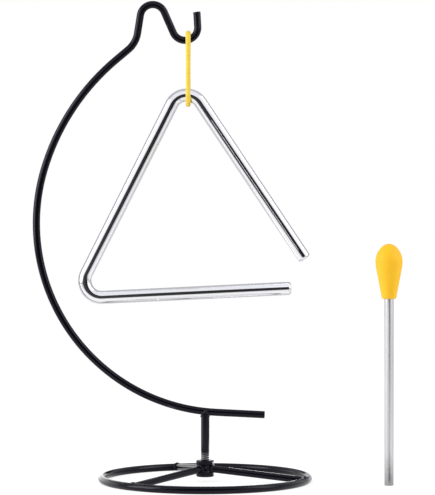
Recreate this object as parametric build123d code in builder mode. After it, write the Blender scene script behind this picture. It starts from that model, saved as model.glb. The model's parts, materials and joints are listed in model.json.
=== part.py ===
from build123d import *
import os
from math import atan2, cos, degrees, radians, sin, sqrt, tan

# Triangle instrument hanging on a wire stand, with its beater beside it.
# Millimetres, +Z up, +X to the right of the bow, origin on the floor at the base ring's centre.
# The bow, the hook and the triangle hang in the plane Y = 0.

# Base: a wire ring, three spokes and a spool-shaped hub
ring_diameter = 153.7
ring_wire = 5.4
rest_flat_depth = 0.15
spoke_wire = 5.0
spoke_names = ["back", "left", "right"]
back_spoke_angle = 107
spoke_hub_height = 9.2
hub_bottom = 3.6
hub_height = 11.8
hub_flange_diameter = 13.0
hub_flange_height = 3.0
hub_waist_diameter = 10.2
hub_edge_round = 0.9

# Weld beads
bead_radius = 1.3
bead_lean = 40
bead_floor_gap = 0.6
post_bead_radius = 1.6
post_bead_drop = 1.5

# Post with its threaded foot
post_diameter = 6.2
post_foot_recess = 0.6
post_seat_depth = 0.8
thread_pitch = 1.4
thread_groove_width = 1.0
thread_depth = 0.4
thread_above_hub = 6.0
thread_clearance = 0.05

# Hanger arm, bent from one wire: tail, bow, neck, kink, riser, hump, drop, saddle and tip;
# the bow's two radii are this much less than the triangle's closed side, which it curves round
arm_wire = 5.3
arm_height = 50.2
arm_end_round = 0.3
tail_slope = 2.9
tail_length = 42.9
bow_start = 7.8
lower_bow_inset = 41.2
lower_bow_turn = 103.5
upper_bow_inset = 13.4
upper_bow_turn = 33.6
neck_length = 11.3
kink_radius = 19.6
kink_turn = 41.0
riser_length = 13.1
hump_radius = 9.0
hump_turn = 147.3
drop_length = 16.2
saddle_radius = 9.2
saddle_turn = 159.5
tip_length = 10.6

# Rubber loop round the hook's wire and the triangle's bar
loop_section = 3.4
loop_drop = 39.8
loop_clearance = 0.3
loop_seat_angle = 14.6
bar_seat_angle = 5.4

# Triangle bar, measured along its axis to the sharp corners; two legs stop short of the open one
bar_diameter = 9.5
bar_end_round = 2.0
bend_radius = 12.0
corner_angle = 60.5
closed_side = 177.4
right_leg_short = 21.4
bottom_leg_short = 20.7
hang_tilt = 3.5

# Beater, standing on its rod beside the base
beater_x = 130.4
beater_y = -24.0
beater_length = 171.2
beater_rod_diameter = 6.5
beater_rod_edge = 0.4
grip_length = 39.0
grip_diameter = 19.2
grip_dome_height = 12.5
grip_crown_radius = 7.1
grip_shoulder_radius = 24.5
grip_taper = 10.7
grip_edge_round = 1.4
grip_cap = 6.0

ring_axis_radius = (ring_diameter - ring_wire) / 2
ring_axis_height = ring_wire / 2 - rest_flat_depth
hub_top = hub_bottom + hub_height
hub_bore_radius = post_diameter / 2 + thread_clearance
up = Vector(0, 0, 1)

# Base ring, with the narrow flat that it rests on
with BuildPart() as base_ring:
    with Locations(Plane.XY.offset(ring_axis_height)):
        Torus(ring_axis_radius, ring_wire / 2)
    split(bisect_by=Plane.XY, keep=Keep.TOP)

# Hub: two rounded flanges and a hollow waist, bored for the post
waist_low = hub_bottom + hub_flange_height
waist_high = hub_top - hub_flange_height
hub_flange_radius = hub_flange_diameter / 2
with BuildPart() as hub:
    with BuildSketch(Plane.XZ):
        with BuildLine():
            Polyline(
                (hub_flange_radius, waist_low),
                (hub_flange_radius, hub_bottom),
                (hub_bore_radius, hub_bottom),
                (hub_bore_radius, hub_top),
                (hub_flange_radius, hub_top),
                (hub_flange_radius, waist_high),
            )
            ThreePointArc(
                (hub_flange_radius, waist_high),
                (hub_waist_diameter / 2, (waist_low + waist_high) / 2),
                (hub_flange_radius, waist_low),
            )
        make_face()
    revolve(axis=Axis.Z)
    flange_ends = hub.faces().filter_by(GeomType.PLANE)
    flange_rims = [face.outer_wire().edges()[0] for face in flange_ends]
    fillet(flange_rims, hub_edge_round)

# Spokes, coped to the hub and the ring, and the beads that join them
spoke_root_radius = (hub_bore_radius + hub_waist_diameter / 2) / 2
spoke_foot_height = max(ring_axis_height, spoke_wire / 2)
spokes = {}
ring_welds = {}
hub_welds = {}
for number, side in enumerate(spoke_names):
    angle = radians(back_spoke_angle + number * 360 / len(spoke_names))
    outward = Vector(cos(angle), sin(angle), 0)
    sideways = up.cross(outward)
    root = outward * spoke_root_radius + up * spoke_hub_height
    foot = outward * ring_axis_radius + up * spoke_foot_height
    run = (foot - root).normalized()

    with BuildPart() as spoke:
        with BuildSketch(Plane(root, z_dir=run)):
            Circle(spoke_wire / 2)
        extrude(amount=(foot - root).length)
        add(base_ring.part, mode=Mode.SUBTRACT)
        add(hub.part, mode=Mode.SUBTRACT)
    spokes[side] = spoke

    # The ring bead leans over the joint and leaves the underside bare
    bead_top = outward * sin(radians(bead_lean)) + up * cos(radians(bead_lean))
    ring_joint = foot - run * (ring_wire / 2)
    with BuildPart() as ring_weld:
        with Locations(Plane(ring_joint, x_dir=sideways, z_dir=sideways.cross(bead_top))):
            Torus(spoke_wire / 2, bead_radius)
        split(bisect_by=Plane.XY.offset(bead_floor_gap), keep=Keep.TOP)
        add(base_ring.part, mode=Mode.SUBTRACT)
        add(spoke.part, mode=Mode.SUBTRACT)
    ring_welds[side] = ring_weld

    hub_joint = root + run * (hub_waist_diameter / 2 - spoke_root_radius)
    with BuildPart() as hub_weld:
        with Locations(Plane(hub_joint, x_dir=sideways, z_dir=run)):
            Torus(spoke_wire / 2, bead_radius)
        add(hub.part, mode=Mode.SUBTRACT)
        add(spoke.part, mode=Mode.SUBTRACT)
    hub_welds[side] = hub_weld

# Hanger arm: one wire swept along its bends, from the tail's cut end to the hook's tip
tail_fall = tan(radians(tail_slope))
lower_bow_radius = closed_side - lower_bow_inset
upper_bow_radius = closed_side - upper_bow_inset
with BuildPart() as hanger_arm:
    with BuildLine(Plane.XZ):
        tail = Line(
            (tail_length, arm_height - tail_length * tail_fall),
            (bow_start, arm_height - bow_start * tail_fall),
        )
        lower_bow = JernArc(tail @ 1, tail % 1, lower_bow_radius, -lower_bow_turn)
        upper_bow = JernArc(lower_bow @ 1, lower_bow % 1, upper_bow_radius, -upper_bow_turn)
        neck = PolarLine(upper_bow @ 1, neck_length, direction=upper_bow % 1)
        kink = JernArc(neck @ 1, neck % 1, kink_radius, kink_turn)
        riser = PolarLine(kink @ 1, riser_length, direction=kink % 1)
        hump = JernArc(riser @ 1, riser % 1, hump_radius, -hump_turn)
        drop = PolarLine(hump @ 1, drop_length, direction=hump % 1)
        saddle = JernArc(drop @ 1, drop % 1, saddle_radius, saddle_turn)
        PolarLine(saddle @ 1, tip_length, direction=saddle % 1)
    with BuildSketch(Plane(tail @ 0, z_dir=tail % 0)):
        Circle(arm_wire / 2)
    sweep()
    cut_ends = hanger_arm.faces().filter_by(GeomType.PLANE)
    fillet(cut_ends.edges(), arm_end_round)

# Post: plain rod over a threaded foot, its top coped to the arm
post_radius = post_diameter / 2
post_foot = hub_bottom + post_foot_recess
post_top = arm_height - post_seat_depth
thread_turns = int((hub_top + thread_above_hub - post_foot) / thread_pitch)
post_outline = [(0, post_foot), (post_radius - thread_depth, post_foot)]
for turn in range(thread_turns):
    crest = post_foot + (turn + 0.5) * thread_pitch
    post_outline += [
        (post_radius, crest - (thread_pitch - thread_groove_width) / 2),
        (post_radius, crest + (thread_pitch - thread_groove_width) / 2),
        (post_radius - thread_depth, crest + thread_pitch / 2),
    ]
thread_end = post_foot + thread_turns * thread_pitch
thread_runout = thread_end + thread_groove_width / 2
post_outline += [(post_radius, thread_runout), (post_radius, post_top), (0, post_top)]
with BuildPart() as post:
    with BuildSketch(Plane.XZ):
        with BuildLine():
            Polyline(*post_outline, close=True)
        make_face()
    revolve(axis=Axis.Z)
    add(hanger_arm.part, mode=Mode.SUBTRACT)

# Bead round the top of the post, under the arm
with BuildPart() as post_weld:
    with Locations(Plane.XY.offset(arm_height - post_bead_drop)):
        Torus(post_radius, post_bead_radius)
    add(hanger_arm.part, mode=Mode.SUBTRACT)
    add(post.part, mode=Mode.SUBTRACT)

# Where the loop holds the hook's wire and the triangle's bar
seat = radians(loop_seat_angle)
bar_seat = radians(bar_seat_angle)
hook = saddle.arc_center + Vector(sin(seat), 0, -cos(seat)) * saddle_radius
bar_top = hook - up * loop_drop
bend_centre = bar_top - Vector(sin(bar_seat), 0, cos(bar_seat)) * bend_radius


# How far over or under a bent wire the loop runs, to stay clear of the bend on both sides
def wrap_radius(bend, angle, wire):
    inner = bend - wire / 2 - loop_clearance - loop_section / 2
    return bend * cos(angle) - sqrt(inner**2 - (bend * sin(angle)) ** 2)


# Loop: a belt of round rubber over the hook and under the bar, in a plane across them
hook_wrap = wrap_radius(saddle_radius, seat, arm_wire)
bar_wrap = wrap_radius(bend_radius, bar_seat, bar_diameter)
lean_sine = (bar_wrap - hook_wrap) / loop_drop
lean_cosine = sqrt(1 - lean_sine**2)
with BuildPart() as hanging_loop:
    with BuildLine(Plane.YZ.offset(hook.X)):
        over = ThreePointArc(
            (hook_wrap * lean_cosine, hook.Z + hook_wrap * lean_sine),
            (0, hook.Z + hook_wrap),
            (-hook_wrap * lean_cosine, hook.Z + hook_wrap * lean_sine),
        )
        under = ThreePointArc(
            (-bar_wrap * lean_cosine, bar_top.Z + bar_wrap * lean_sine),
            (0, bar_top.Z - bar_wrap),
            (bar_wrap * lean_cosine, bar_top.Z + bar_wrap * lean_sine),
        )
        Line(over @ 1, under @ 0)
        Line(under @ 1, over @ 0)
    with BuildSketch(Plane(over @ 0, z_dir=over % 0)):
        Circle(loop_section / 2)
    sweep()

# Triangle: one bar bent at two corners and open at the third, turned as it hangs
right_leg = closed_side - right_leg_short
bottom_leg = closed_side - bottom_leg_short
half_corner = radians(corner_angle / 2)
apex = (0, bend_radius / sin(half_corner))
left_corner = (-closed_side * sin(half_corner), apex[1] - closed_side * cos(half_corner))
right_end = (right_leg * sin(half_corner), apex[1] - right_leg * cos(half_corner))
bottom_turn = radians(90 - corner_angle / 2 - corner_angle)
bottom_end = (
    left_corner[0] + bottom_leg * cos(bottom_turn),
    left_corner[1] + bottom_leg * sin(bottom_turn),
)
tilt = radians(hang_tilt)
hang_plane = Plane(bend_centre, x_dir=(cos(tilt), 0, sin(tilt)), z_dir=(0, -1, 0))
with BuildPart() as triangle_bar:
    with BuildLine(hang_plane):
        bar_path = FilletPolyline(right_end, apex, left_corner, bottom_end, radius=bend_radius)
    with BuildSketch(Plane(bar_path @ 0, z_dir=bar_path % 0)):
        Circle(bar_diameter / 2)
    sweep()
    bar_ends = triangle_bar.faces().filter_by(GeomType.PLANE)
    fillet(bar_ends.edges(), bar_end_round)

# Beater rod, reaching up into the grip's blind bore
beater_plane = Plane((beater_x, beater_y, 0), x_dir=(1, 0, 0), z_dir=(0, -1, 0))
beater_axis = Axis((beater_x, beater_y, 0), (0, 0, 1))
beater_rod_radius = beater_rod_diameter / 2
rod_top = beater_length - grip_cap
with BuildPart(Plane.XY.move(Location((beater_x, beater_y, 0)))) as beater_rod:
    Cylinder(beater_rod_radius, rod_top, align=(Align.CENTER, Align.CENTER, Align.MIN))
    chamfer(beater_rod.edges().group_by(Axis.Z)[0], beater_rod_edge)

# Beater grip: a domed head that tapers down to the rod
grip_bottom = beater_length - grip_length
grip_widest = beater_length - grip_dome_height
grip_radius = grip_diameter / 2
crown_drop = grip_dome_height - grip_crown_radius
crown_inset = grip_radius - grip_crown_radius
grip_side_radius = grip_crown_radius + (crown_drop**2 + crown_inset**2) / (2 * crown_inset)
side_turn = degrees(atan2(crown_drop, grip_side_radius - grip_radius))
with BuildPart() as beater_grip:
    with BuildSketch(beater_plane):
        with BuildLine():
            dome_side = JernArc((grip_radius, grip_widest), (0, 1), grip_side_radius, side_turn)
            JernArc(dome_side @ 1, dome_side % 1, grip_crown_radius, 90 - side_turn)
            shoulder = JernArc((grip_radius, grip_widest), (0, -1), grip_shoulder_radius, -grip_taper)
            shoulder_end = shoulder @ 1
            taper_run = (shoulder_end.Y - grip_bottom) * tan(radians(grip_taper))
            Polyline(
                (shoulder_end.X, shoulder_end.Y),
                (shoulder_end.X - taper_run, grip_bottom),
                (beater_rod_radius, grip_bottom),
                (beater_rod_radius, rod_top),
                (0, rod_top),
                (0, beater_length),
            )
        make_face()
    revolve(axis=beater_axis)
    grip_foot = beater_grip.edges().filter_by(GeomType.CIRCLE).group_by(Axis.Z)[0]
    fillet(grip_foot.sort_by(SortBy.RADIUS)[-1], grip_edge_round)

pieces = {
    "base_ring": base_ring,
    "hub": hub,
    **{f"spoke_{side}": spoke for side, spoke in spokes.items()},
    **{f"ring_weld_{side}": weld for side, weld in ring_welds.items()},
    **{f"hub_weld_{side}": weld for side, weld in hub_welds.items()},
    "post": post,
    "post_weld": post_weld,
    "hanger_arm": hanger_arm,
    "hanging_loop": hanging_loop,
    "triangle_bar": triangle_bar,
    "beater_rod": beater_rod,
    "beater_grip": beater_grip,
}
os.makedirs("parts", exist_ok=True)
for name, piece in pieces.items():
    piece.part.label = name
    export_step(piece.part, f"parts/{name}.step")

print("loop swings about", hook)
print("triangle rocks about", bend_centre)
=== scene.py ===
import json
import math

import bpy
from mathutils import Color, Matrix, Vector, noise


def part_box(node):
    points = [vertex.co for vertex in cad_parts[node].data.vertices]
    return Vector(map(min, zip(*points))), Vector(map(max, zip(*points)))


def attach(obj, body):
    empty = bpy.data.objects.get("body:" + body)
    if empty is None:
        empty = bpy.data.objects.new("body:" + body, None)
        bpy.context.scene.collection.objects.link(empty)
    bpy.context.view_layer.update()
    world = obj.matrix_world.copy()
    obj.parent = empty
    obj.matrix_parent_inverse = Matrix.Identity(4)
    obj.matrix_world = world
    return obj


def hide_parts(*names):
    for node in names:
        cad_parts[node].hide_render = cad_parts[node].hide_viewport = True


# Sizes and places are in metres, in the same frame as the CAD
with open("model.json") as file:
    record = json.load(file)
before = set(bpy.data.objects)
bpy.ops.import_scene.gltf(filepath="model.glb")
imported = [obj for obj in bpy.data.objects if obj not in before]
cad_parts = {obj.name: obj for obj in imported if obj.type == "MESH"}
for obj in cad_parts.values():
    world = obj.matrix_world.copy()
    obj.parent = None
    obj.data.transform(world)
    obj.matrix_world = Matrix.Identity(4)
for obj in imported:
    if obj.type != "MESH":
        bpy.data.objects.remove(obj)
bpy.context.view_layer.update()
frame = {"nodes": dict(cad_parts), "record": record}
nodes = frame["nodes"]
joints = {joint["name"]: joint for joint in frame["record"]["behaviour"]["joints"]}
bpy.ops.object.select_all(action="DESELECT")
print("frame loaded:", len(nodes), "nodes")


# Shader maths: a socket that can be added, multiplied and so on
class Sock:
    def __init__(self, tree, socket=None):
        self.tree = tree
        self.socket = socket

    def node(self, kind, settings=None, inputs=None, out=0):
        made = self.tree.nodes.new(kind)
        for key, value in (settings or {}).items():
            setattr(made, key, value)
        for key, value in (inputs or {}).items():
            if isinstance(value, Sock):
                self.tree.links.new(value.socket, made.inputs[key])
            else:
                made.inputs[key].default_value = value
        return Sock(self.tree, made.outputs[out] if made.outputs else None)

    def other(self, name):  # another output of the same node
        return Sock(self.tree, self.socket.node.outputs[name])

    def maths(self, operation, *values):
        return self.node("ShaderNodeMath", {"operation": operation}, dict(enumerate(values)))

    def __add__(self, other):
        return self.maths("ADD", self, other)

    def __radd__(self, other):
        return self.maths("ADD", other, self)

    def __sub__(self, other):
        return self.maths("SUBTRACT", self, other)

    def __rsub__(self, other):
        return self.maths("SUBTRACT", other, self)

    def __mul__(self, other):
        return self.maths("MULTIPLY", self, other)

    def __rmul__(self, other):
        return self.maths("MULTIPLY", other, self)

    def along(self, axis):  # one coordinate of a place
        return self.node("ShaderNodeSeparateXYZ", inputs={"Vector": self}, out=axis)

    def ramp(self, low, high):  # 0 at low and before it, 1 at high and past it
        return self.node("ShaderNodeMapRange", inputs={"Value": self, "From Min": low, "From Max": high})

    def speckle(self, scale, detail):  # noise at the places that self gives
        return self.node("ShaderNodeTexNoise", inputs={"Vector": self, "Scale": scale, "Detail": detail})

    def bump(self, strength, depth):
        return self.node("ShaderNodeBump", inputs={"Height": self, "Strength": strength, "Distance": depth})

    # Self is the share of the second colour: a colour mix has its colours at 6 and 7, and its result at 2
    def mixColour(self, first, second):
        return self.node("ShaderNodeMix", {"data_type": "RGBA"}, {0: self, 6: first, 7: second}, out=2)


def newFinish(name):
    material = bpy.data.materials.new(name)
    material.use_nodes = True
    material.node_tree.nodes.clear()
    look = Sock(material.node_tree)
    return material, look, look.node("ShaderNodeTexCoord", out="Object")


def closeFinish(look, shader, inputs):
    surface = look.node(shader, inputs=inputs)
    look.node("ShaderNodeOutputMaterial", inputs={"Surface": surface})


def coat(piece, material):
    piece.data.materials.clear()
    piece.data.materials.append(material)


def grey(level):
    return (level, level, level, 1)


def srgb(red, green, blue):  # a colour written as it looks on screen, 0 to 255
    shown = Color((red / 255, green / 255, blue / 255))
    return (*shown.from_srgb_to_scene_linear(), 1)


def turnTo(place, aim):  # points a camera or a lamp from place to aim
    return (Vector(aim) - Vector(place)).to_track_quat("-Z", "Y").to_euler()


# Camera: in front of the stand and looking down a little, as in the photo
photoCamera = {
    "place": (0.0089, -1.480, 0.1740),
    "aim": (0.0089, 0.0, 0.1685),
    "lens": 149.5,  # mm
    "sensor": 36,  # mm, along the picture's long side
    "clipEnd": 50,
}


def makeCamera():
    turn = turnTo(photoCamera["place"], photoCamera["aim"])
    bpy.ops.object.camera_add(location=photoCamera["place"], rotation=turn)
    camera = bpy.context.object
    camera.data.lens = photoCamera["lens"]
    camera.data.sensor_width = photoCamera["sensor"]
    camera.data.clip_end = photoCamera["clipEnd"]
    bpy.context.scene.camera = camera


makeCamera()
bpy.context.scene.view_settings.view_transform = "Standard"
print("camera placed")


# Studio: white floor and room, a softbox at each side, and cards that only reflections show
studio = {
    "ambient": 0.74,  # how strongly the room lights the object
    "roomTint": (0.92, 0.92, 0.97, 1),  # how the room looks in the metal
    "roomFront": 1.14,
    "roomBehind": 0.66,
    "roomTurn": (-0.34, 0.48),  # from the one to the other, where -1 is in front and 1 behind
    "floorSize": 8.0,
    "floorPale": 0.82,  # what the floor sends back to the object
    "floorShadow": 0.35,  # how much of the floor's look is shade, the rest is white
    "floorBehind": (0.48, 0.48, 0.52, 1),  # painted shade: the floor behind the object is darker, in the metal's reflections only
    "behindFrom": (-0.02, 0.08),  # the y where that starts, and where it is full
    "floorBefore": (0.30, 0.30, 0.33, 1),  # and the floor's front edge, also darker in reflections only
    "beforeFrom": (-0.23, -0.37),
    "boxes": (
        {"name": "softboxLeft", "place": (-0.90, -0.30, 0.46), "size": (0.60, 0.82), "power": 7.0},
        {"name": "softboxRight", "place": (1.00, -0.22, 0.78), "size": (0.60, 0.95), "power": 5.0},
    ),
    "aim": (0.0, 0.0, 0.17),
    "cards": (  # turn in degrees; level at the left end, then at the right end
        {
            "name": "blackFlag",  # the dark line along each chrome leg
            "sides": 64,
            "place": (-0.004, -0.40, 0.206),
            "size": (0.62, 0.38),
            "taper": 1.0,  # narrower towards the top
            "turn": (90, -9, 0),
            "level": (0.08, 0.002),
        },
        {
            "name": "backFlag",  # the same for views from behind
            "sides": 64,
            "place": (0.12, 1.0, 0.30),
            "size": (0.66, 0.42),
            "turn": (90, 0, 0),
            "level": (0.03, 0.03),
        },
        {
            "name": "backSweep",  # pale paper behind, for the sheen along the top of the base
            "place": (0.0, 0.45, 0.045),
            "size": (0.70, 0.09),
            "turn": (90, 0, 0),
            "level": (1.0, 1.0),
        },
        {
            "name": "ringGlow",  # low beside the ring, for the sheen on its left end
            "place": (-0.140, 0.075, 0.030),
            "size": (0.20, 0.06),
            "turn": (90, 0, 49),
            "level": (1.9, 1.9),
        },
        {
            "name": "glowVisor",  # keeps that glow off the triangle
            "place": (-0.119, 0.057, 0.064),
            "size": (0.21, 0.055),
            "turn": (0, 0, 49),
            "level": (0.95, 0.95),
        },
        {
            "name": "spokeStrip",  # the thin bright line along the right spoke
            "place": (0.042, 0.022, 0.011),
            "size": (0.050, 0.020),
            "turn": (90, 0, -13),
            "level": (4.0, 4.0),
        },
        {
            "name": "postCard",  # close to the left of the post, for its paler left side
            "place": (-0.030, -0.007, 0.033),
            "size": (0.036, 0.022),
            "turn": (90, 0, 90),
            "level": (2.4, 2.4),
        },
        {
            "name": "legStrip",  # the pale core of the right leg's dark line
            "place": (0.0316, -0.030, 0.2085),
            "size": (0.0020, 0.117),
            "turn": (90, -33.75, 0),
            "level": (1.70, 1.70),
        },
        {
            "name": "rodCard",  # stands close by the rod, for the even tone of its left half
            "place": (0.1106, -0.0321, 0.067),
            "size": (0.0745, 0.136),
            "turn": (90, 0, -63),
            "level": (1.12, 0.92),
        },
        {
            "name": "rodStrip",  # carries the rod's dark line down to its foot
            "place": (0.1445, -0.165, 0.0005),
            "size": (0.020, 0.26),
            "turn": (0, 0, 4.8),
            "level": (0.12, 0.12),
        },
    ),
}


def makeWorld():
    world = bpy.data.worlds.new("whiteRoom")
    bpy.context.scene.world = world
    world.use_nodes = True
    world.node_tree.nodes.clear()
    room = Sock(world.node_tree)
    direct = room.node("ShaderNodeLightPath", out="Is Camera Ray")
    glossy = direct.other("Is Glossy Ray")
    toward = room.node("ShaderNodeTexCoord", out="Generated")
    behind = toward.along("Y").ramp(*studio["roomTurn"])
    reflected = studio["roomFront"] + behind * (studio["roomBehind"] - studio["roomFront"])
    plain = (direct + direct.other("Is Transmission Ray")) * (1 - studio["ambient"])
    strength = studio["ambient"] + plain + glossy * (reflected - studio["ambient"])
    colour = glossy.mixColour(grey(1), studio["roomTint"])
    light = room.node("ShaderNodeBackground", inputs={"Color": colour, "Strength": strength})
    room.node("ShaderNodeOutputWorld", inputs={"Surface": light})


def makeFloor():
    bpy.ops.mesh.primitive_plane_add(size=studio["floorSize"])
    floor = bpy.context.object
    floor.name = "floor"
    material, look, place = newFinish("paleFloor")
    direct = look.node("ShaderNodeLightPath", out="Is Camera Ray")
    glossy = direct.other("Is Glossy Ray")
    seen = direct + glossy + direct.other("Is Transmission Ray")
    depth = place.along("Y")
    # painted shade on the floor behind, and a darker front edge, seen only in reflections
    behind = glossy * depth.ramp(*studio["behindFrom"])
    before = glossy * depth.ramp(*studio["beforeFrom"])
    tone = behind.mixColour(grey(1), studio["floorBehind"])
    tone = before.mixColour(tone, studio["floorBefore"])
    bounce = look.node("ShaderNodeBsdfDiffuse", inputs={"Color": grey(studio["floorPale"])})
    shaded = look.node("ShaderNodeBsdfDiffuse", inputs={"Color": grey(studio["floorShadow"])})
    toWhite = 1 - studio["ambient"] * studio["floorShadow"]  # brings a floor lit by the room alone to white
    white = look.node("ShaderNodeEmission", inputs={"Color": tone, "Strength": toWhite})
    shown = look.node("ShaderNodeAddShader", inputs={0: shaded, 1: white})
    closeFinish(look, "ShaderNodeMixShader", {0: seen, 1: bounce, 2: shown})
    coat(floor, material)


def makeBoxes():
    for box in studio["boxes"]:
        turn = turnTo(box["place"], studio["aim"])
        bpy.ops.object.light_add(type="AREA", location=box["place"], rotation=turn)
        lamp = bpy.context.object
        lamp.name = box["name"]
        lamp.data.shape = "RECTANGLE"
        lamp.data.size, lamp.data.size_y = box["size"]
        lamp.data.energy = box["power"]


def makeCards():
    for card in studio["cards"]:
        sides = card.get("sides", 4)
        reach = 0.5 / math.cos(math.pi / 4) if sides == 4 else 0.5  # a metre across, then scaled
        bpy.ops.mesh.primitive_circle_add(
            vertices=sides, radius=reach, fill_type="NGON", rotation=(0, 0, math.pi / 4)
        )
        piece = bpy.context.object
        piece.name = card["name"]
        bpy.ops.object.transform_apply(rotation=True)
        for vertex in piece.data.vertices:
            vertex.co.x *= 1 - card.get("taper", 0) * vertex.co.y
        piece.location = card["place"]
        piece.rotation_euler = [math.radians(angle) for angle in card["turn"]]
        piece.scale = (*card["size"], 1)
        material, look, place = newFinish(card["name"])
        left, right = card["level"]
        across = place.along("X") + 0.5  # 0 at the left end, 1 at the right
        tone = across.mixColour(grey(left), grey(right))
        closeFinish(look, "ShaderNodeEmission", {"Color": tone})
        coat(piece, material)
        piece.visible_camera = False
        piece.visible_diffuse = False
        piece.visible_shadow = False


makeWorld()
makeFloor()
makeBoxes()
makeCards()
print("studio lit")


# Modelling steps that several pieces share
mergeGap = 1e-7  # points closer than this become one


def startPiece(name):
    piece = bpy.context.object
    piece.name = name
    piece.data.name = name
    bpy.ops.object.transform_apply(location=True, rotation=True, scale=True)
    return piece


def smoothPiece(piece, sharpAngle):  # edges that turn by more degrees than this stay crisp
    bpy.ops.object.mode_set(mode="EDIT")
    bpy.ops.mesh.select_all(action="SELECT")
    bpy.ops.mesh.remove_doubles(threshold=mergeGap)
    bpy.ops.mesh.normals_make_consistent(inside=False)
    bpy.ops.object.mode_set(mode="OBJECT")
    bpy.ops.object.shade_smooth_by_angle(angle=math.radians(sharpAngle))
    bpy.ops.object.select_all(action="DESELECT")


def roundEnds(piece, bar):  # closes the bar's two ends and rounds their rims
    bpy.ops.mesh.select_mode(type="EDGE")
    bpy.ops.mesh.select_all(action="SELECT")
    bpy.ops.mesh.fill_holes(sides=0)
    bpy.ops.mesh.select_all(action="DESELECT")
    bpy.ops.object.mode_set(mode="OBJECT")
    ends = [face for face in piece.data.polygons if len(face.vertices) == bar["sides"]]
    rims = {key for face in ends for key in face.edge_keys}
    for edge in piece.data.edges:
        edge.select = edge.key in rims
    bpy.ops.object.mode_set(mode="EDIT")
    bpy.ops.mesh.bevel(offset=bar["endRound"], segments=bar["endSegments"], affect="EDGES")


def bendBar(name, bar, start, heading, route):  # along straights and bends in the plane Y = 0
    bpy.ops.object.select_all(action="DESELECT")
    place = Vector((start[0], 0, start[1]))
    square = (0, math.pi / 2 - heading, 0)  # faces the circle along the first straight
    bpy.ops.mesh.primitive_circle_add(
        vertices=bar["sides"], radius=bar["diameter"] / 2, location=place, rotation=square
    )
    piece = startPiece(name)
    bpy.ops.object.mode_set(mode="EDIT")
    bpy.ops.mesh.select_all(action="SELECT")
    for length, radius, turn in route:
        forward = Vector((math.cos(heading), 0, math.sin(heading)))
        if length:
            bpy.ops.mesh.extrude_region_move(TRANSFORM_OT_translate={"value": forward * length})
            place = place + forward * length
        if turn:
            side = math.copysign(1, turn)
            centre = place + Vector((-forward.z, 0, forward.x)) * radius * side
            angle = math.radians(abs(turn))
            steps = math.ceil(abs(turn) / bar["degreesPerRing"])
            bpy.ops.mesh.spin(steps=steps, angle=angle, center=centre, axis=(0, side, 0))
            heading += angle * side
            forward = Vector((math.cos(heading), 0, math.sin(heading)))
            place = centre - Vector((-forward.z, 0, forward.x)) * radius * side
    return piece, place, forward


# Triangle: one chromed bar, open at the lower right corner
triangle = {
    "diameter": 0.0095,
    "sides": 96,
    "degreesPerRing": 2.0,
    "bendRadius": 0.012,
    "cornerAngle": math.radians(60.5),
    "tilt": math.radians(3.5),
    "closedSide": 0.1774,  # the sides are measured to the sharp corners
    "rightLeg": 0.1560,
    "bottomLeg": 0.1567,
    "endRound": 0.0020,
    "endSegments": 6,
    "sharpAngle": 50,
}


def makeTriangle():
    half = triangle["cornerAngle"] / 2
    toTangent = triangle["bendRadius"] / math.tan(half)
    toCentre = triangle["bendRadius"] / math.sin(half)
    bendX, _, bendZ = joints["triangle_rock"]["pos_m"]
    apexX = bendX - toCentre * math.sin(triangle["tilt"])
    apexZ = bendZ + toCentre * math.cos(triangle["tilt"])
    down = triangle["tilt"] - math.pi / 2 + half  # heading of the right leg, seen from the apex
    leg = triangle["rightLeg"]
    start = (apexX + leg * math.cos(down), apexZ + leg * math.sin(down))
    turn = 180 - math.degrees(triangle["cornerAngle"])
    route = (
        (leg - toTangent, triangle["bendRadius"], turn),
        (triangle["closedSide"] - 2 * toTangent, triangle["bendRadius"], turn),
        (triangle["bottomLeg"] - toTangent, 0, 0),
    )
    piece, _, _ = bendBar("triangleBar", triangle, start, down + math.pi, route)
    roundEnds(piece, triangle)
    smoothPiece(piece, triangle["sharpAngle"])
    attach(piece, "triangle")
    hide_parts("triangle_bar")
    return piece


# Hanger arm: tail, bow, neck, hump and hook in one painted wire
hanger = {
    "diameter": 0.0053,
    "sides": 48,
    "degreesPerRing": 2.0,
    "height": 0.0502,
    "tailEnd": 0.0429,
    "tailSlope": math.radians(2.9),
    "bowStart": 0.0078,
    "route": (  # length, then the radius and turn of the bend after it
        (0, 0.1362, -103.5),
        (0, 0.1640, -33.6),
        (0.0113, 0.0196, 41.0),
        (0.0131, 0.0090, -147.3),
        (0.0162, 0.0092, 159.5),
        (0.0092, 0, 0),
    ),
    "shearedTip": 0.0014,
    "tipLip": 0.00022,  # the shear's burr on the side towards the bow
    "tipSpread": 1.05,
    "tipSlant": math.radians(5),
    "endRound": 0.0003,
    "endSegments": 4,
    "sharpAngle": 40,
}


def makeArm():
    fall = math.tan(hanger["tailSlope"])
    start = (hanger["tailEnd"], hanger["height"] - hanger["tailEnd"] * fall)
    tail = (hanger["tailEnd"] - hanger["bowStart"]) / math.cos(hanger["tailSlope"])
    route = ((tail, 0, 0), *hanger["route"])
    piece, place, forward = bendBar("hangerArm", hanger, start, math.pi - hanger["tailSlope"], route)
    bpy.ops.mesh.extrude_region_move(TRANSFORM_OT_translate={"value": forward * hanger["shearedTip"]})
    tip = place + forward * hanger["shearedTip"]
    bpy.ops.transform.resize(value=(hanger["tipSpread"],) * 3, center_override=tip)
    bpy.ops.transform.rotate(value=hanger["tipSlant"], orient_axis="Y", center_override=tip)
    bpy.ops.transform.translate(value=(-hanger["tipLip"], 0, 0))
    roundEnds(piece, hanger)
    smoothPiece(piece, hanger["sharpAngle"])
    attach(piece, "arm")
    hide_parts("hanger_arm")
    return piece


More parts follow.
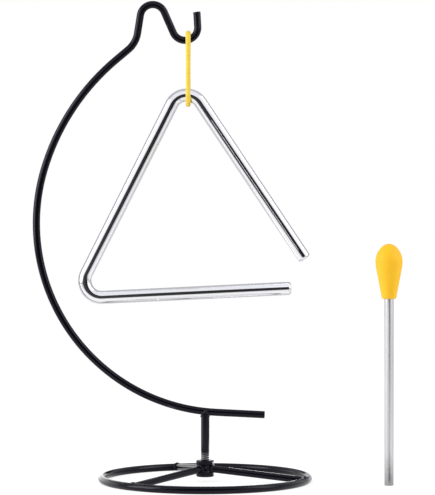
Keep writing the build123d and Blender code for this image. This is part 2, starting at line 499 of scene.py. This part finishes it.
# Rubber loop, pulled taut between the hook and the bar
loop = {
    "hookSide": 0.0046,  # half its width at the hook
    "barSide": 0.0066,  # and at the bar
    "barReach": 0.00677,  # from there down to its foot
    "endRadius": 0.00195,  # the rubber's own radius, from the top down
    "hookRadius": 0.00182,
    "middleRadius": 0.00164,
    "barRadius": 0.00172,
    "footRadius": 0.00178,
    "roundness": 0.5523,  # handle length of a quarter circle
    "straightness": 0.25,  # handle length on the strands
    "ringsPerStation": 24,
    "bevelSteps": 10,
    "sharpAngle": 60,
}


def makeLoop():
    hookX, _, hookZ = joints["loop_swing"]["pos_m"]
    low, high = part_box("hanging_loop")
    topZ = high[2] - loop["endRadius"]
    footZ = low[2] + loop["footRadius"]
    barZ = footZ + loop["barReach"]
    middleY = (loop["hookSide"] + loop["barSide"]) / 2
    middleZ = (hookZ + barZ) / 2
    strand = Vector((0, loop["barSide"] - loop["hookSide"], barZ - hookZ)) * loop["straightness"]
    hookBow = Vector((0, 0, -loop["roundness"] * (topZ - hookZ)))
    barBow = Vector((0, 0, -loop["roundness"] * (barZ - footZ)))
    over = Vector((0, loop["roundness"] * loop["hookSide"], 0))
    under = Vector((0, -loop["roundness"] * loop["barSide"], 0))
    top = (Vector((hookX, 0, topZ)), loop["endRadius"], -over, over)
    foot = (Vector((hookX, 0, footZ)), loop["footRadius"], -under, under)
    back = (  # place, radius, handle before, handle after
        (Vector((hookX, loop["hookSide"], hookZ)), loop["hookRadius"], -hookBow, strand),
        (Vector((hookX, middleY, middleZ)), loop["middleRadius"], -strand, strand),
        (Vector((hookX, loop["barSide"], barZ)), loop["barRadius"], -strand, barBow),
    )
    flip = Vector((1, -1, 1))
    front = [
        (spot * flip, radius, after * flip, before * flip) for spot, radius, before, after in reversed(back)
    ]
    stations = (top, *back, foot, *front)
    curve = bpy.data.curves.new("hangingLoop", "CURVE")
    curve.dimensions = "3D"
    curve.resolution_u = loop["ringsPerStation"]
    curve.bevel_depth = loop["middleRadius"]
    curve.bevel_resolution = loop["bevelSteps"]
    spline = curve.splines.new("BEZIER")
    spline.bezier_points.add(len(stations) - 1)
    spline.use_cyclic_u = True
    for point, (spot, radius, before, after) in zip(spline.bezier_points, stations):
        point.handle_left_type = point.handle_right_type = "FREE"
        point.co = spot
        point.handle_left = spot + before
        point.handle_right = spot + after
        point.radius = radius / loop["middleRadius"]
    piece = bpy.data.objects.new("hangingLoop", curve)
    bpy.context.collection.objects.link(piece)
    bpy.ops.object.select_all(action="DESELECT")
    bpy.context.view_layer.objects.active = piece
    piece.select_set(True)
    bpy.ops.object.convert(target="MESH")
    piece = bpy.context.object
    smoothPiece(piece, loop["sharpAngle"])
    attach(piece, "loop")
    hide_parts("hanging_loop")
    return piece


# Post: plain rod with a rolled thread at its foot
post = {
    "sides": 64,
    "pitch": 0.0014,
    "depth": 0.00040,
    "crest": 0.26,  # flat share of the pitch
    "ringsPerTurn": 14,
    "threadTop": 0.0217,
    "fadeTurns": 1.2,  # the groove runs out over these
    "shineTurns": 2.6,  # the crests are bare lower down
    "shineEdge": 7.0,  # how sharply the bare metal ends beside a crest
    "shineName": "crestShine",
    "sharpAngle": 60,
}


def makePost():
    low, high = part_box("post")
    radius = (high[0] - low[0]) / 2
    step = post["pitch"] / post["ringsPerTurn"]
    rings = math.ceil((post["threadTop"] - low[2]) / step)
    bpy.ops.object.select_all(action="DESELECT")
    bpy.ops.mesh.primitive_circle_add(vertices=post["sides"], radius=radius, location=(0, 0, low[2]))
    piece = startPiece("threadedPost")
    bpy.ops.object.mode_set(mode="EDIT")
    bpy.ops.mesh.select_all(action="SELECT")
    for _ in range(rings):
        bpy.ops.mesh.extrude_region_move(TRANSFORM_OT_translate={"value": (0, 0, step)})
    threadTop = low[2] + rings * step
    bpy.ops.mesh.extrude_region_move(TRANSFORM_OT_translate={"value": (0, 0, high[2] - threadTop)})
    bpy.ops.mesh.select_all(action="SELECT")
    bpy.ops.mesh.fill_holes(sides=0)
    bpy.ops.object.mode_set(mode="OBJECT")
    shine = piece.data.attributes.new(post["shineName"], "FLOAT", "POINT")
    for vertex in piece.data.vertices:
        around = math.atan2(vertex.co.y, vertex.co.x) / math.tau
        turn = (vertex.co.z / post["pitch"] - around) % 1
        phase = abs(turn - 0.5) * 2  # 1 on a crest, 0 in a groove
        flank = min(1, phase / (1 - post["crest"]))
        below = max(0, (threadTop - vertex.co.z) / post["pitch"])  # turns below the thread's top
        cut = radius - post["depth"] * (1 - flank) * min(1, below / post["fadeTurns"])
        vertex.co.x *= cut / radius
        vertex.co.y *= cut / radius
        bright = max(0, 1 - (1 - flank) * post["shineEdge"])
        shine.data[vertex.index].value = bright * min(1, below / post["shineTurns"])
    smoothPiece(piece, post["sharpAngle"])
    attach(piece, "arm")
    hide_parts("post")
    return piece


# Weld beads, with the ripples that a weld leaves
weld = {
    "ringRadius": 0.0013,
    "hubRadius": 0.0013,
    "postRadius": 0.00070,
    "postSwell": 0.00075,  # fuller in front and behind
    "ripples": 9,
    "rippleHeight": 0.00014,
    "lumps": 0.00030,
    "lumpScale": 520.0,
    "ringSeedStep": 2.1,  # each bead's ripples and lumps start elsewhere
    "hubSeedStart": 5.0,
    "hubSeedStep": 1.3,
    "postSeed": 0.7,
    "segmentsRound": 72,
    "segmentsAcross": 18,
    "sharpAngle": 60,
    "floorGap": 0.0006,  # the ring's beads stop above the floor
    "lean": math.radians(40),  # and lean in over the ring's wire
    "spokeWire": 0.0050,
    "backSpokeAngle": math.radians(107),
    "spokeNames": ("back", "left", "right"),
    "hubWaist": 0.0051,  # where the spokes meet the hub
    "hubHeight": 0.0092,
    "postReach": 0.0027,
    "postSide": 0.0470,
    "postFront": 0.0504,
}


def rippledBead(name, reach, radius, place, axis, seed, frontSwell=0):
    bpy.ops.object.select_all(action="DESELECT")
    bpy.ops.mesh.primitive_torus_add(
        location=(0, 0, 0),
        major_radius=reach,
        minor_radius=radius,
        major_segments=weld["segmentsRound"],
        minor_segments=weld["segmentsAcross"],
    )
    piece = startPiece(name)
    for vertex in piece.data.vertices:
        angle = math.atan2(vertex.co.y, vertex.co.x)
        core = Vector((math.cos(angle), math.sin(angle), 0)) * reach
        outward = (vertex.co - core).normalized()
        swell = weld["rippleHeight"] * math.sin(angle * weld["ripples"] + seed)
        swell += weld["lumps"] * noise.noise(core * weld["lumpScale"] + Vector((seed, 0, 0)))
        swell += frontSwell * math.sin(angle) ** 2
        vertex.co += outward * swell
    piece.rotation_mode = "QUATERNION"
    piece.rotation_quaternion = Vector(axis).to_track_quat("Z", "Y")
    piece.location = place
    bpy.ops.object.transform_apply(location=True, rotation=True, scale=True)
    return piece


def finishBead(piece, body, node):
    smoothPiece(piece, weld["sharpAngle"])
    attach(piece, body)
    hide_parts(node)
    return piece


def makeSpokeWelds():
    _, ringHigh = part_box("base_ring")
    ringWire = ringHigh[2]  # the ring's wire lies on the floor
    ringRadius = ringHigh[0] - ringWire / 2
    spokeRadius = weld["spokeWire"] / 2
    up = Vector((0, 0, 1))
    beads = []
    for number, side in enumerate(weld["spokeNames"]):
        angle = weld["backSpokeAngle"] + number * math.tau / len(weld["spokeNames"])
        outward = Vector((math.cos(angle), math.sin(angle), 0))
        root = outward * weld["hubWaist"] + up * weld["hubHeight"]
        foot = outward * ringRadius + up * spokeRadius
        run = (foot - root).normalized()
        leaning = outward * math.sin(weld["lean"]) + up * math.cos(weld["lean"])
        axis = up.cross(outward).cross(leaning)
        seam = foot - run * ringWire / 2
        name = "ringWeld" + side.capitalize()
        seed = number * weld["ringSeedStep"]
        bead = rippledBead(name, spokeRadius, weld["ringRadius"], seam, axis, seed)
        bpy.ops.object.mode_set(mode="EDIT")
        bpy.ops.mesh.select_all(action="SELECT")
        bpy.ops.mesh.bisect(
            plane_co=(0, 0, weld["floorGap"]), plane_no=(0, 0, 1), use_fill=True, clear_inner=True
        )
        bpy.ops.object.mode_set(mode="OBJECT")
        beads.append(finishBead(bead, "base", "ring_weld_" + side))
        name = "hubWeld" + side.capitalize()
        seed = number * weld["hubSeedStep"] + weld["hubSeedStart"]
        bead = rippledBead(name, spokeRadius, weld["hubRadius"], root, run, seed)
        beads.append(finishBead(bead, "base", "hub_weld_" + side))
    return beads


def makePostWeld():  # climbs over the arm in front and behind, and stays low at the sides
    middle = (0, 0, 0)
    up = (0, 0, 1)
    bead = rippledBead(
        "postWeld", weld["postReach"], weld["postRadius"], middle, up, weld["postSeed"], weld["postSwell"]
    )
    for vertex in bead.data.vertices:
        climb = math.sin(math.atan2(vertex.co.y, vertex.co.x)) ** 2
        vertex.co.z += weld["postSide"] + (weld["postFront"] - weld["postSide"]) * climb
    return finishBead(bead, "arm", "post_weld")


# Beater rod: drawn steel, its foot worn round by striking
rod = {
    "sides": 64,
    "endRound": 0.0007,
    "endSegments": 4,
    "sharpAngle": 40,
}


def makeRod():
    low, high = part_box("beater_rod")
    radius = (high[0] - low[0]) / 2
    foot = ((low[0] + high[0]) / 2, (low[1] + high[1]) / 2, low[2])
    bpy.ops.object.select_all(action="DESELECT")
    bpy.ops.mesh.primitive_circle_add(vertices=rod["sides"], radius=radius, location=foot)
    piece = startPiece("beaterRod")
    bpy.ops.object.mode_set(mode="EDIT")
    bpy.ops.mesh.select_all(action="SELECT")
    bpy.ops.mesh.extrude_region_move(TRANSFORM_OT_translate={"value": (0, 0, high[2] - low[2])})
    roundEnds(piece, rod)
    smoothPiece(piece, rod["sharpAngle"])
    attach(piece, "beater")
    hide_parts("beater_rod")
    return piece


triangleBar = makeTriangle()
hangerArm = makeArm()
hangingLoop = makeLoop()
threadedPost = makePost()
beads = makeSpokeWelds() + [makePostWeld()]
beaterRod = makeRod()
print("pieces modelled")


# Finishes, where each noise is a scale and a detail
# Black paint, knocked off to bare steel in spots that also stand in as a painted highlight for the welds'
# sheen, and rubbed off the thread's crests
paint = {
    "deep": (0.0018, 0.0015, 0.0040, 1),
    "light": (0.0034, 0.0030, 0.0062, 1),
    "patches": (60.0, 3.0),
    "rough": 0.10,
    "roughSpread": 0.06,
    "peel": (1400.0, 2.0),
    "peelStrength": 0.12,
    "peelDepth": 0.0001,
    "gloss": 0.20,
    "glossTint": (0.90, 0.86, 1.0, 1),
    "bareSteel": (0.42, 0.42, 0.44, 1),
    "flakes": (900.0, 3.0),
    "flakeEdge": (0.52, 0.58),
    "chips": (  # where the paint is knocked off to bare steel, partly real wear and partly a painted highlight for the sheen on the welds there, and how far round
        ((0.0752, -0.016, 0.0030), 0.008),
        ((0.0056, -0.0030, 0.0150), 0.0022),
        ((-0.0560, -0.0480, 0.0052), 0.0030),
    ),
    "chipCore": 0.5,  # share of that where the flakes are full
}


# painted highlight: bare-steel spots at the welds, partly real wear and partly standing in for the welds'
# sheen
def chipsAndSheenSpots(place):
    near = 0
    for spot, radius in paint["chips"]:
        ends = {0: place, 1: spot}
        far = place.node("ShaderNodeVectorMath", {"operation": "DISTANCE"}, ends, out="Value")
        near = near + far.ramp(radius, radius * paint["chipCore"])
    return near * place.speckle(*paint["flakes"]).ramp(*paint["flakeEdge"])


def bareCrests(look):
    return look.node("ShaderNodeAttribute", {"attribute_name": post["shineName"]}, out="Fac")


def blackPaint(name, threaded):
    material, look, place = newFinish(name)
    # away from the thread this is the bare-steel spots mask, partly a painted highlight for the welds'
    # sheen
    bare = bareCrests(look) if threaded else chipsAndSheenSpots(place)
    patches = place.speckle(*paint["patches"])
    colour = patches.mixColour(paint["deep"], paint["light"])
    closeFinish(
        look,
        "ShaderNodeBsdfPrincipled",
        {
            "Base Color": bare.mixColour(colour, paint["bareSteel"]),
            "Roughness": paint["rough"] + patches * paint["roughSpread"],
            "Metallic": bare,
            "Normal": place.speckle(*paint["peel"]).bump(paint["peelStrength"], paint["peelDepth"]),
            "Specular IOR Level": paint["gloss"],
            "Specular Tint": paint["glossTint"],
        },
    )
    return material


# Chrome plate with a breath of haze
chrome = {
    "colour": (0.78, 0.78, 0.80, 1),
    "haze": (90.0, 4.0),
    "rough": 0.008,
    "roughSpread": 0.02,
}


def brightChrome():
    material, look, place = newFinish("brightChrome")
    haze = place.speckle(*chrome["haze"])
    closeFinish(
        look,
        "ShaderNodeBsdfPrincipled",
        {
            "Base Color": chrome["colour"],
            "Metallic": 1,
            "Roughness": chrome["rough"] + haze * chrome["roughSpread"],
        },
    )
    return material


# Drawn steel, with painted shade darkening it towards the foot
steel = {
    "dark": (0.56, 0.56, 0.57, 1),
    "light": (0.66, 0.66, 0.67, 1),
    "drawn": (1.0, 1.0, 0.015),  # stretches the grain along the rod
    "grain": (2600.0, 3.0),
    "rough": 0.30,
    "roughSpread": 0.10,
    # painted shade: darker towards the foot, standing in for the darker reflection there
    "worn": (0.30, 0.30, 0.31, 1),
    "wornHeight": (0.0288, 0.0064),  # where the painted shade starts, and where it is full
    "scuffs": (420.0, 4.0),
    "scuffHeight": 0.012,
}


def drawnSteel():
    material, look, place = newFinish("drawnSteel")
    stretched = look.node("ShaderNodeMapping", inputs={"Vector": place, "Scale": steel["drawn"]})
    grain = stretched.speckle(*steel["grain"])
    # painted shade, darker towards the foot, with a ragged upper edge
    scuffs = place.speckle(*steel["scuffs"]) * steel["scuffHeight"]
    worn = (place.along("Z") + scuffs).ramp(*steel["wornHeight"])
    colour = grain.mixColour(steel["dark"], steel["light"])
    closeFinish(
        look,
        "ShaderNodeBsdfPrincipled",
        {
            "Base Color": worn.mixColour(colour, steel["worn"]),
            "Metallic": 1,
            "Roughness": steel["rough"] + grain * steel["roughSpread"],
        },
    )
    return material


# Yellow rubber, paler on the loop than on the grip
rubber = {
    "loop": {"deep": srgb(232, 198, 66), "light": srgb(239, 209, 84), "rough": 0.42},
    "grip": {"deep": srgb(247, 187, 28), "light": srgb(251, 197, 38), "rough": 0.45},
    "cloud": (120.0, 3.0),
    "roughSpread": 0.1,
    "grain": (2200.0, 2.0),
    "grainStrength": 0.015,
    "grainDepth": 0.0001,
    "gloss": 0.25,
}


def yellowRubber(kind):
    material, look, place = newFinish(kind + "Rubber")
    tone = rubber[kind]
    cloud = place.speckle(*rubber["cloud"])
    closeFinish(
        look,
        "ShaderNodeBsdfPrincipled",
        {
            "Base Color": cloud.mixColour(tone["deep"], tone["light"]),
            "Roughness": tone["rough"] + cloud * rubber["roughSpread"],
            "Normal": place.speckle(*rubber["grain"]).bump(rubber["grainStrength"], rubber["grainDepth"]),
            "Specular IOR Level": rubber["gloss"],
        },
    )
    return material


standPaint = blackPaint("satinBlackPaint", threaded=False)
for name in ("base_ring", "hub", "spoke_back", "spoke_left", "spoke_right"):
    coat(nodes[name], standPaint)
for piece in (hangerArm, *beads):
    coat(piece, standPaint)
coat(threadedPost, blackPaint("threadPaint", threaded=True))
coat(triangleBar, brightChrome())
coat(beaterRod, drawnSteel())
coat(hangingLoop, yellowRubber("loop"))
coat(nodes["beater_grip"], yellowRubber("grip"))
print("finishes made")
